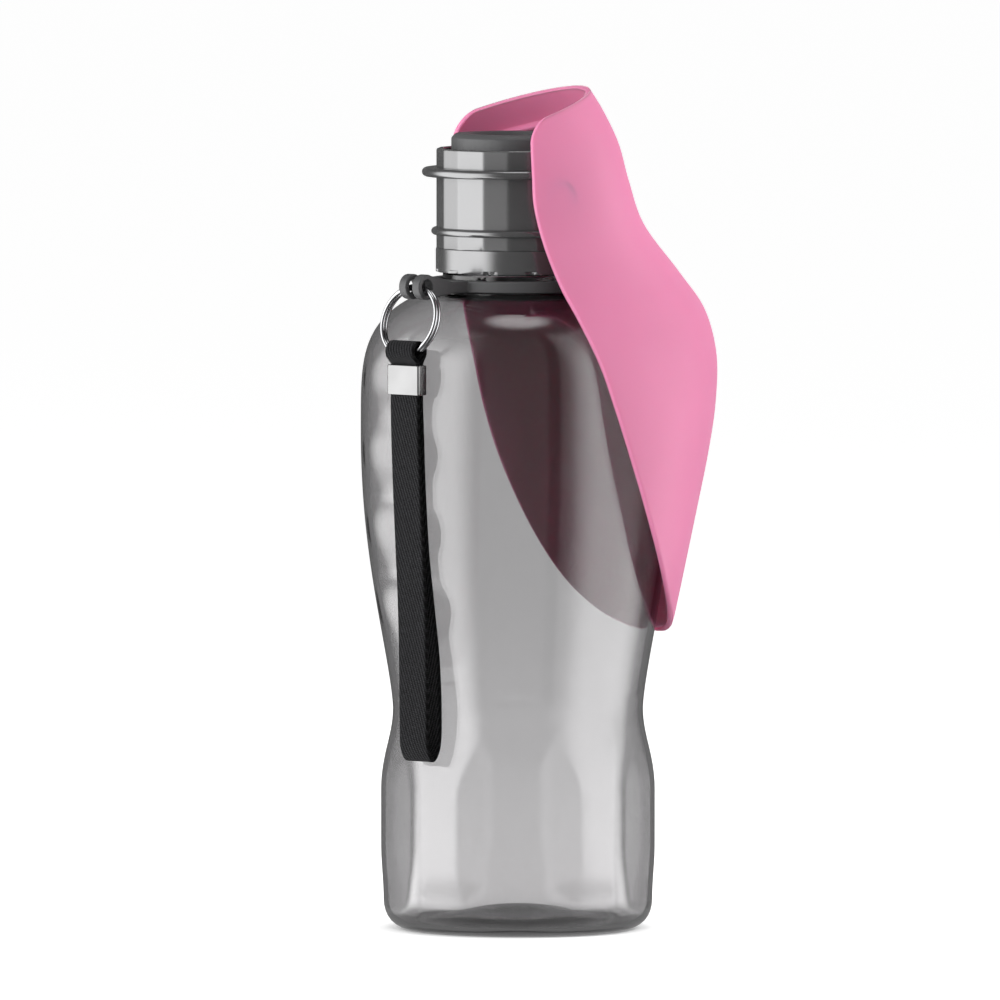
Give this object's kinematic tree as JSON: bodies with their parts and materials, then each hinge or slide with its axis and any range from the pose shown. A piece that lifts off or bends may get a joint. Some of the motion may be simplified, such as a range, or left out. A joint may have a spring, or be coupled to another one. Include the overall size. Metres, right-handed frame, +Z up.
{
  "type": "dog travel water bottle",
  "caption": "Clear squeeze bottle with finger grips, a screw cap with twist valve, a leaf-shaped drinking bowl hinged on the cap, and a wrist strap on a split ring.",
  "frame": {"origin": "centre of the foot, in the plane that the bottle stands on", "axes": "+Z up along the bottle's axis, +X towards the leaf bowl"},
  "size_m": [0.1086, 0.0998, 0.244],
  "materials": {
    "smoke_plastic": "clear, smoke grey, polished",
    "cap_plastic": "semi-gloss moulded",
    "knob_plastic": "matte moulded",
    "pink_plastic": "satin moulded",
    "bush_plastic": "slick moulded",
    "seal_rubber": "soft, matte",
    "black_rubber": "soft, matte",
    "steel": "turned",
    "chrome": "plated, polished",
    "clip_metal": "polished sheet",
    "webbing": "woven twill"
  },
  "bodies": {
    "bottle": {"bottle": "smoke_plastic"},
    "cap": {"cap_barrel": "cap_plastic", "upper_grip_ring": "cap_plastic", "lower_grip_ring": "cap_plastic", "neck_gasket": "seal_rubber", "valve_seat": "cap_plastic", "face_seal": "seal_rubber", "stem_o_ring": "black_rubber", "vent_valve": "seal_rubber", "pivot_pin_left": "steel", "pivot_pin_right": "steel", "pivot_washer_left": "bush_plastic", "pivot_washer_right": "bush_plastic"},
    "knob": {"valve_knob": "knob_plastic", "stem_clip": "steel"},
    "leaf": {"leaf_bowl": "pink_plastic", "pivot_bush_left": "bush_plastic", "pivot_bush_right": "bush_plastic"},
    "hanger": {"hanger_collar": "knob_plastic"},
    "ring": {"split_ring": "chrome"},
    "strap": {"strap_clip": "clip_metal", "wrist_strap": "webbing"}
  },
  "joints": [
    {"name": "cap_lift", "type": "slide", "parent": "bottle", "child": "cap", "axis": [0, 0, 1], "range_m": [0, 0.012]},
    {"name": "valve_twist", "type": "hinge", "parent": "cap", "child": "knob", "pos_m": [0, 0, 0.213], "axis": [0, 0, 1], "range_deg": [0, 60]},
    {"name": "leaf_swing", "type": "hinge", "parent": "cap", "child": "leaf", "pos_m": [0, 0, 0.213], "axis": [0, -1, 0], "range_deg": [0, 140]},
    {"name": "hanger_turn", "type": "hinge", "parent": "bottle", "child": "hanger", "pos_m": [0, 0, 0.187], "axis": [0, 0, 1], "range_deg": [-45, 45]},
    {"name": "ring_swing", "type": "hinge", "parent": "hanger", "child": "ring", "pos_m": [-0.03912, -0.01661, 0.1876], "axis": [-0.3907, 0.9205, 0], "range_deg": [0, 75]},
    {"name": "strap_swing", "type": "hinge", "parent": "ring", "child": "strap", "pos_m": [-0.04426, -0.01879, 0.16918], "axis": [-0.3907, 0.9205, 0], "range_deg": [0, 60]}
  ]
}
